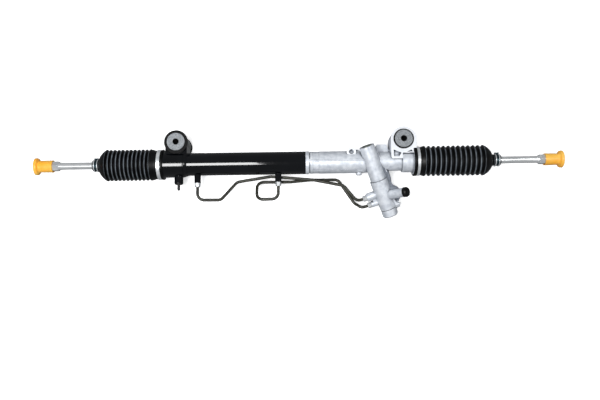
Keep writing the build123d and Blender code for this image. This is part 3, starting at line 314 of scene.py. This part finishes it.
# %% Plated and coated steel
zinc_plated = surface("zinc_plated", "#CFD3D6", "#E6E9EB", 24, 0.5, 0.012, (0.20, 0.30),
                      metallic=0.6, edge=0.4)
zinc_rod = surface("zinc_rod", "#DADDDF", "#F0F2F3", 30, 0.6, 0.01, (0.16, 0.26),
                   metallic=0.7, edge=0.4)
band_steel = surface("band_steel", "#D5DADE", "#F4F6F8", 10, 0.6, 0.015, (0.32, 0.42),
                     metallic=0.7, edge=0.3)
clip_steel = surface("clip_steel", "#1C2A30", "#33454B", 6, 0.6, 0.015, (0.22, 0.32),
                     metallic=0.7, edge=0.3)
coated_pipe = surface("coated_pipe", "#22221D", "#38382F", 16, 0.7, 0.03, (0.32, 0.48),
                      metallic=0.3)
black_stud = surface("black_stud", "#050506", "#131416", 8, 0.6, 0.03, (0.35, 0.5),
                     metallic=0.2, edge=0.3)
dull_steel = surface("dull_steel", "#5F655F", "#8A9088", 5, 0.6, 0.04, (0.4, 0.55),
                     metallic=0.7, edge=0.5)
wear("valve_housing_bolts", "pipe_nuts", "left_jam_nut", "right_jam_nut", material=zinc_plated)
wear("left_tie_rod", "right_tie_rod", material=zinc_rod)
wear("left_boot_band", "right_boot_band", material=band_steel)
wear("left_boot_clip", "right_boot_clip", material=clip_steel)
wear("left_port_pipe", "middle_port_pipe", material=coated_pipe)
wear("line_clip_stud", "left_bush_shell", "right_bush_shell", material=black_stud)
wear("tower_cap", "guide_screw", "guide_lock_nut", material=dull_steel)
print("plated and coated steel:", len(bpy.data.materials), "materials so far")

# %% [markdown]
# ## Pieces inside the gear
# The rack, the pinion, the valve and their bearings are seen only when the gear is opened,
# and plain finishes serve them: ground steel, spring steel, bronze, rubber and two plastics.

# %% Pieces inside the gear
machined_steel = surface("machined_steel", "#8E9296", "#B7BBBF", 12, 0.4, 0.01, (0.22, 0.32),
                         metallic=1.0, edge=0.3)
spring_steel = surface("spring_steel", "#3A3D42", "#5B5F66", 9, 0.5, 0.02, (0.3, 0.4),
                       metallic=1.0, edge=0.3)
bushing_bronze = surface("bushing_bronze", "#8C6A3A", "#B08A50", 9, 0.4, 0.02, (0.35, 0.45),
                         metallic=1.0, edge=0.3)
seal_rubber = surface("seal_rubber", "#0B0B0C", "#1A1A1B", 9, 0.8, 0.03, (0.5, 0.6),
                      edge=0.3)
ring_fluoroplastic = surface("ring_fluoroplastic", "#2E2420", "#45372F", 8, 0.6, 0.02, (0.4, 0.5),
                             edge=0.2)
seat_acetal = surface("seat_acetal", "#CFCDBE", "#E4E2D6", 15, 0.8, 0.02, (0.35, 0.45),
                      edge=0.3)
guide_aluminium = surface("guide_aluminium", "#A9ACAE", "#C6C9CB", 9, 0.4, 0.02, (0.3, 0.4),
                          metallic=1.0, edge=0.3)
wear("rack_bar", "piston", "pinion_shaft", "valve_sleeve", "sleeve_pin", "input_shaft", "torsion_bar_pin",
     "end_bearing", "valve_bearing_inner_ring", "valve_bearing_outer_ring", "valve_bearing_cage",
     "input_needle_bearing", "left_tie_rod_socket", "right_tie_rod_socket", material=machined_steel)
wear("snap_rings", "tab_washers", "torsion_bar", "guide_springs", material=spring_steel)
wear("inner_rack_bushing", "outer_rack_bushing", material=bushing_bronze)
wear("inner_rack_seal", "outer_rack_seal", "input_dust_seal", material=seal_rubber)
wear("piston_ring", "valve_sleeve_rings", material=ring_fluoroplastic)
wear("left_ball_seat", "right_ball_seat", material=seat_acetal)
wear("rack_guide", material=guide_aluminium)
print("inside pieces:", len(bpy.data.materials), "materials so far")

# %% [markdown]
# ## Milled faces
# The lug and the bracket end in milled faces, which are brighter than the cast skin round
# them. A second material on chosen faces would need them selected. Both faces lie flat at a
# known height, so a mask of height and direction in the shader finds them by itself.

# %% Milled faces of the casting
MILLED_HEIGHTS, HEIGHT_SLACK, LEVEL_ABOVE = (28.0, 26.0), 0.4, 0.985
tree = cast_aluminium.node_tree
shader = tree.nodes["Principled BSDF"]
coordinates = add_node(tree, "ShaderNodeTexCoord")
spot = add_node(tree, "ShaderNodeSeparateXYZ", {"Vector": coordinates.outputs["Object"]})
facing = add_node(tree, "ShaderNodeSeparateXYZ", {"Vector": coordinates.outputs["Normal"]})
at_height = [add_node(tree, "ShaderNodeMath", {0: spot.outputs["Z"], 1: height * MM, 2: HEIGHT_SLACK * MM},
                      operation="COMPARE") for height in MILLED_HEIGHTS]
either = add_node(tree, "ShaderNodeMath", {0: at_height[0].outputs[0], 1: at_height[1].outputs[0]},
                  operation="MAXIMUM")
level = add_node(tree, "ShaderNodeMath", {0: facing.outputs["Z"], 1: LEVEL_ABOVE}, operation="GREATER_THAN")
milled = add_node(tree, "ShaderNodeMath", {0: either.outputs[0], 1: level.outputs[0]}, operation="MULTIPLY")
cast_tone = shader.inputs["Base Color"].links[0].from_socket
bright = add_node(tree, "ShaderNodeMix", {
    FACTOR: milled.outputs[0], COLOUR_A: cast_tone, COLOUR_B: linear("#E9ECF1")}, data_type="RGBA")
tree.links.new(bright.outputs[COLOUR_OUT], shader.inputs["Base Color"])
print("milled faces at", MILLED_HEIGHTS, "mm")

# %% [markdown]
# ## Bush plates
# A bush's core ends in a speckled grey plate round its bore. The bore is painted near black
# as painted shade, and the distance from the bolt's line tells it from the plate. Below the
# mount's middle, where the other plate sits, the whole core is painted black as painted shade.

# %% End plates of the two bushes
BOLT_STATIONS = {"left": -477.0, "right": 0.0}
BORE_SHADE_EDGE = (6.35, 6.9)
for side, bolt_x in BOLT_STATIONS.items():
    plate = surface(f"{side}_bush_plate", "#64686C", "#A0A4A8", 1.8, 0.7, 0.05, (0.5, 0.68),
                    metallic=0.2, edge=0.5, Specular_IOR_Level=0.3)
    tree = plate.node_tree
    shader = tree.nodes["Principled BSDF"]
    where = add_node(tree, "ShaderNodeTexCoord").outputs["Object"]
    # Painted shade: inside the bore's edge the core is painted near black.
    flat = add_node(tree, "ShaderNodeVectorMath", {0: where, 1: (1.0, 1.0, 0.0)}, operation="MULTIPLY")
    reach = add_node(tree, "ShaderNodeVectorMath", {0: flat.outputs[0], 1: (bolt_x * MM, 0, 0)},
                     operation="DISTANCE")
    beyond = add_node(tree, "ShaderNodeMapRange", {
        "Value": reach.outputs["Value"], "From Min": BORE_SHADE_EDGE[0] * MM, "From Max": BORE_SHADE_EDGE[1] * MM})
    face = shader.inputs["Base Color"].links[0].from_socket
    bore_painted_shade = add_node(tree, "ShaderNodeMix", {
        FACTOR: beyond.outputs["Result"], COLOUR_A: linear("#030303"), COLOUR_B: face}, data_type="RGBA")
    # Painted shade: the core's half below the mount's middle is painted black.
    height = add_node(tree, "ShaderNodeSeparateXYZ", {"Vector": where})
    near_end = add_node(tree, "ShaderNodeMath", {0: height.outputs["Z"], 1: 0.0}, operation="GREATER_THAN")
    rear_painted_shade = add_node(tree, "ShaderNodeMix", {
        FACTOR: near_end.outputs[0], COLOUR_A: linear("#060607"), COLOUR_B: bore_painted_shade.outputs[COLOUR_OUT]},
        data_type="RGBA")
    tree.links.new(rear_painted_shade.outputs[COLOUR_OUT], shader.inputs["Base Color"])
    wear(f"{side}_bush_core", material=plate)
print("bush plates at", list(BOLT_STATIONS.values()), "mm")

# %% [markdown]
# ## The valve housing's flank
# On the casting a web runs down the side of the tower, sweeps out under the pressure port and
# on to the return port, with a hollow between the two. It is a section carried down the
# tower's axis: the section's outer edge and its top follow two curves of the depth, and an
# elliptical dish is pressed into the top. Curves of depth are the simplest way to make a web
# whose edge wanders like this one.

# %% The tower's own directions
SLANT, TILT = np.radians([19.5, 22.0])
UP_TOWER = np.array([-np.sin(SLANT), np.cos(SLANT) * np.cos(TILT), np.cos(SLANT) * np.sin(TILT)])
FACING = np.array([0.0, -np.sin(TILT), np.cos(TILT)])
ACROSS = np.cross(UP_TOWER, FACING)
TOWER_STATION, TOWER_OFFSET = -66.0, 15.65
TOWER_FOOT = np.array([TOWER_STATION, AXIS_Y, AXIS_Z]) + TOWER_OFFSET * FACING
print("across the tower", ACROSS.round(3))

# %% Web on the tower's flank
# Rows of depth down the tower and of distance, across it for the edge and towards the
# viewer for the top.
EDGE_CURVE = np.array([[-3, 13], [2, 20], [8, 23.5], [20, 25.0], [31, 25.5], [42, 25.5], [52, 24.5],
                       [60, 25.5], [64, 29], [67, 33], [70, 35.5], [84, 35.5], [88, 32.5], [92, 29],
                       [96, 26], [102, 23.4], [107, 23], [110.5, 20], [112.5, 13]])
TOP_CURVE = np.array([[-3, -1], [40, -2], [58, -1], [66, 5], [74, 8], [90, 6], [100, 2], [113, -1]])
SMOOTHING = 7
ROOT_ACROSS, ROOT_FACING = 6.0, -13.0
WALL_ACROSS, WALL_FACING = 11.0, 9.0
EDGE_ROUND = 2.0
DISH_ACROSS, DISH_DOWN, DISH_DEPTH = 22.0, 90.0, 7.0
DISH_LONG, DISH_HALF_LENGTH = (-0.70, 0.71), 12.0
DISH_WIDE, DISH_HALF_WIDTH = (0.71, 0.70), 5.5


def flank_web(rows=116, columns=18):
    """A point is foot + across * x + facing * y + down * depth. On the top, x runs from the
    tower's wall to the edge and y falls in a straight line from the wall to the edge's top,
    less dish * sqrt(1 - q) where q < 1 is the squared distance inside an ellipse."""
    depth = np.linspace(EDGE_CURVE[0, 0], EDGE_CURVE[-1, 0], rows)
    edge = np.interp(depth, *EDGE_CURVE.T)
    edge = np.convolve(np.pad(edge, SMOOTHING // 2, mode="edge"), np.ones(SMOOTHING) / SMOOTHING, "valid")
    top = np.interp(depth, *TOP_CURVE.T)
    share = np.linspace(0, 1, columns)
    x_top = WALL_ACROSS + share * (edge - EDGE_ROUND - WALL_ACROSS)[:, None]
    y_top = WALL_FACING + share * (top - WALL_FACING)[:, None]
    from_x, from_depth = x_top - DISH_ACROSS, depth[:, None] - DISH_DOWN
    along = (from_x * DISH_LONG[0] + from_depth * DISH_LONG[1]) / DISH_HALF_LENGTH
    over = (from_x * DISH_WIDE[0] + from_depth * DISH_WIDE[1]) / DISH_HALF_WIDTH
    y_top = y_top - DISH_DEPTH * np.sqrt(np.clip(1 - along ** 2 - over ** 2, 0, 1))
    root, base = np.full(rows, ROOT_ACROSS), np.full(rows, ROOT_FACING)
    x = np.column_stack([root, x_top, edge - 0.3 * EDGE_ROUND, edge, edge, edge - EDGE_ROUND])
    y = np.column_stack([base, y_top, top - 0.3 * EDGE_ROUND, top - EDGE_ROUND, base + EDGE_ROUND, base])
    points = (TOWER_FOOT + x[..., None] * ACROSS + y[..., None] * FACING
              - depth[:, None, None] * UP_TOWER).reshape(-1, 3)
    count = x.shape[1]
    i, j = np.arange(rows - 1)[:, None] * count, np.arange(count)[None, :]
    after = (j + 1) % count
    sides = np.stack([i + j, i + count + j, i + count + after, i + after], -1).reshape(-1, 4)
    ends = [list(range(count)), list(range((rows - 1) * count, rows * count))[::-1]]
    return points, sides.tolist() + ends


flank = mesh_piece("valve_housing_flank", *flank_web())
# The web wears the darker aluminium of painted shade.
wear(flank, material=flank_painted_shade)
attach(flank, "housing")
print("flank web:", len(flank.data.polygons), "faces")

# %% [markdown]
# ## The bellows boots
# A boot is a moulded rubber bellows: a lip and a plain seat, a row of round folds, and a dome
# that narrows to a neck on the tie rod. Turning one outline about the rack's axis makes it.
# The folds ride between the housing and the rack. The dome rides on the tie rod. Its shape is
# close to a ball about the inner joint, so that it can swing there and still cover the end of the folds.

# %% Boot sizes
JOINT_FROM_MIDDLE = 380.0
RACK_MIDDLE = -225.0
NECK, NECK_END = 11.0, 50.4
ROD_RADIUS = 7.3
SWING = np.radians(18.0)
BAND_END, STRETCH_START = 13.4, 13.5
DOME_PROUD, CAP_INSET = 0.2, 1.2
# seat, first and last are places along the rack, and lip is the lip's length.
# bore, crest and valley are radii, and joint is where the inner ball sits.
BOOTS = {
    "left": {"seat": -504.5, "bore": 28.5, "crest": 33.2, "valley": 27.6, "first": -532.2, "last": -625.3,
             "folds": 12, "lip": 5.4, "joint": RACK_MIDDLE - JOINT_FROM_MIDDLE},
    "right": {"seat": 20.6, "bore": 28.0, "crest": 32.2, "valley": 27.0, "first": 43.8, "last": 168.5,
              "folds": 13, "lip": 7.0, "joint": RACK_MIDDLE + JOINT_FROM_MIDDLE},
}
print("inner joints at", [b["joint"] for b in BOOTS.values()], "mm")


# %% A surface turned about the rack's axis
def turned_surface(name, stations, radii, crests=None, steps=96):
    """A surface of two parameters: along the outline, and round the rack's axis. A point is
    (station, axis_y + radius * cos(turn), axis_z + radius * sin(turn)). crests is kept on
    the mesh, so that a finish can follow the folds."""
    turn = np.linspace(0, 2 * np.pi, steps, endpoint=False)
    x = np.repeat(np.asarray(stations, float)[:, None], steps, 1)
    y = AXIS_Y + np.outer(radii, np.cos(turn))
    z = AXIS_Z + np.outer(radii, np.sin(turn))
    i = np.arange(len(stations) - 1)[:, None] * steps
    j = np.arange(steps)[None, :]
    after = (j + 1) % steps
    faces = np.stack([i + j, i + after, i + steps + after, i + steps + j], -1).reshape(-1, 4)
    if stations[-1] < stations[0]:
        faces = faces[:, ::-1]
    piece = mesh_piece(name, np.stack([x, y, z], -1).reshape(-1, 3), faces)
    height = np.zeros(len(stations)) if crests is None else np.asarray(crests, float)
    piece.data.attributes.new("crest", "FLOAT", "POINT").data.foreach_set("value", np.repeat(height, steps))
    return piece


# %% Outlines of the seat, the folds and the cap
def lip_outline(b):
    """Rows of distance from the seat and height over the bore: the lip, the hollow under the
    band, and a shoulder that climbs by shares of the rise to the first crest."""
    shoulder, rise = abs(b["first"] - b["seat"]), b["crest"] - b["bore"]
    climb = shoulder - BAND_END
    return np.array([[0.6, -2.0], [0, 2.6], [0.5, 3.2], [1.2, 3.5],
                     [b["lip"] - 1.0, 3.5], [b["lip"] - 0.2, 2.9], [b["lip"], 1.6],
                     [BAND_END - 1.0, 1.2], [BAND_END, 1.0],
                     [BAND_END + 0.35 * climb, 0.30 * rise + 0.6],
                     [BAND_END + 0.7 * climb, 0.72 * rise + 0.3], [shoulder - 0.8, rise - 0.3]])


def fold_outline(b, per_fold=20):
    """Round folds: radius = valley + (crest - valley) * lift, where lift is a cosine wave
    raised so that crests are broad and valleys are narrow."""
    gaps = b["folds"] - 1
    s = np.linspace(0, gaps, gaps * per_fold + 1)
    lift = (0.5 + 0.5 * np.cos(2 * np.pi * s)) ** 0.8
    stations = b["first"] + s * (b["last"] - b["first"]) / gaps
    return stations, b["valley"] + (b["crest"] - b["valley"]) * lift, lift


def dome_size(b):
    """The dome's ball about the inner joint passes just outside the last crest: radius =
    sqrt(reach^2 + crest^2) + proud, and the seam's angle is arctan(crest / reach)."""
    reach = abs(b["last"] - b["joint"])
    return np.hypot(reach, b["crest"]) + DOME_PROUD, np.arctan2(b["crest"], reach)


def cap_outline(b, way):
    """Behind the dome the folds end in a round cap, (joint + r cos a, r sin a). Its opening
    clears the rod at the widest swing: two swings of s make an angle of arccos(cos(s)^2),
    and the rod's own half width adds arcsin(rod / r)."""
    radius, seam = dome_size(b)
    radius = radius - CAP_INSET
    opening = np.arccos(np.cos(SWING) ** 2) + np.arcsin(ROD_RADIUS / radius) + 0.01
    angle = np.linspace(seam, opening, 16)
    return b["joint"] + way * radius * np.cos(angle), radius * np.sin(angle)


# %% Outline of the dome and its neck
def dome_outline(b, way):
    """The ball (joint + r cos a, r sin a) from the seam to the neck, and then the neck with a
    small ring at its end. The last row marks where a painted highlight goes: the rim and the neck's foot."""
    radius, seam = dome_size(b)
    angle = np.linspace(seam + 0.02, np.arcsin((NECK + 2) / radius), 20)
    neck_x = b["joint"] + way * np.array([radius + 1.0, radius + 2.2, NECK_END - 2.4, NECK_END - 2.0,
                                          NECK_END - 0.4, NECK_END, NECK_END])
    neck_r = NECK + np.array([0.9, 0.0, 0.0, 1.0, 1.0, 0.4, ROD_RADIUS + 0.3 - NECK])
    # Rows marked near one get the same painted highlight as the crests.
    highlight_rows = np.zeros(len(angle) + len(neck_x))
    highlight_rows[0] = 0.93
    highlight_rows[len(angle):len(angle) + 2] = 0.9
    return (np.concatenate([b["joint"] + way * radius * np.cos(angle), neck_x]),
            np.concatenate([radius * np.sin(angle), neck_r]), highlight_rows)


# %% [markdown]
# ### Painted highlight on the crests
# The crests of the folds carry a painted highlight: thin pale lines between black hollows,
# as lamp light catching each crest. A light from the side would give a similar line on one
# side only. Here the mesh's own crest value places the painted highlight, and a noise makes it patchy.

# %% Painted highlight on the crests
CREST_STOPS, PATCH_STOPS, PATCH_WIDTH = (0.80, 0.99), (0.30, 0.62), 16.0
tree = moulded_boot_rubber.node_tree
shader = tree.nodes["Principled BSDF"]
# Painted highlight: near a crest's top the rubber is blended towards a pale grey.
crest_value = add_node(tree, "ShaderNodeAttribute", attribute_name="crest")
crest_highlight = add_node(tree, "ShaderNodeMapRange", {
    "Value": crest_value.outputs["Fac"], "From Min": CREST_STOPS[0], "From Max": CREST_STOPS[1],
    "To Max": 0.95})
where = add_node(tree, "ShaderNodeTexCoord").outputs["Object"]
uneven = add_node(tree, "ShaderNodeTexNoise", {"Vector": where, "Scale": 1000 / PATCH_WIDTH, "Detail": 3.0})
patchy = add_node(tree, "ShaderNodeMapRange", {
    "Value": uneven.outputs["Fac"], "From Min": PATCH_STOPS[0], "From Max": PATCH_STOPS[1], "To Min": 0.35})
painted_highlight = add_node(tree, "ShaderNodeMath", {0: crest_highlight.outputs["Result"], 1: patchy.outputs["Result"]},
                  operation="MULTIPLY")
rubber_tone = shader.inputs["Base Color"].links[0].from_socket
highlighted = add_node(tree, "ShaderNodeMix", {
    FACTOR: painted_highlight.outputs[0], COLOUR_A: rubber_tone, COLOUR_B: linear("#6A7178")}, data_type="RGBA")
tree.links.new(highlighted.outputs[COLOUR_OUT], shader.inputs["Base Color"])
print("crest highlight patches", PATCH_WIDTH, "mm wide")

# %% [markdown]
# ### Both boots
# Each boot is two turned surfaces and the two rolled edges of the clip on its neck. The left
# boot is built like the right one's mirror image, with sizes of its own.

# %% Build the boots
CLIP_EDGES = (("inner", 39.7), ("outer", 46.9))
CLIP_EDGE_RADIUS, CLIP_HEIGHT = 1.1, 1.6
for side, b in BOOTS.items():
    way = 1 if side == "right" else -1
    lip = lip_outline(b)
    x_fold, r_fold, lift = fold_outline(b)
    x_cap, r_cap = cap_outline(b, way)
    x = np.concatenate([b["seat"] + way * lip[:, 0], x_fold, x_cap])
    r = np.concatenate([b["bore"] + lip[:, 1], r_fold, r_cap])
    crests = np.concatenate([np.zeros(len(lip)), lift, np.zeros(len(x_cap))])
    folds = turned_surface(f"{side}_boot_folds", x, r, crests)
    dome = turned_surface(f"{side}_boot_dome", *dome_outline(b, way))
    wear(folds, dome, material=moulded_boot_rubber)
    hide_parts(f"{side}_boot")
    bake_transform(folds)
    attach(dome, f"{side}_tie_rod")
    turn = np.linspace(0, 2 * np.pi, 13)
    for part, from_joint in CLIP_EDGES:
        stations = b["joint"] + way * (from_joint + CLIP_EDGE_RADIUS * np.cos(turn))
        radii = NECK + CLIP_HEIGHT + CLIP_EDGE_RADIUS * np.sin(turn)
        roll = turned_surface(f"{side}_clip_{part}_edge", stations, radii)
        wear(roll, material=band_steel)
        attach(roll, f"{side}_tie_rod")
    print(side, "boot: dome radius", round(float(dome_size(b)[0]), 1), "mm")

dressed_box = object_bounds()
growth = [abs(a - b) / MM for before, after in zip(cad_box, dressed_box) for a, b in zip(before, after)]
print("box grew by", [round(float(g), 2) for g in growth])
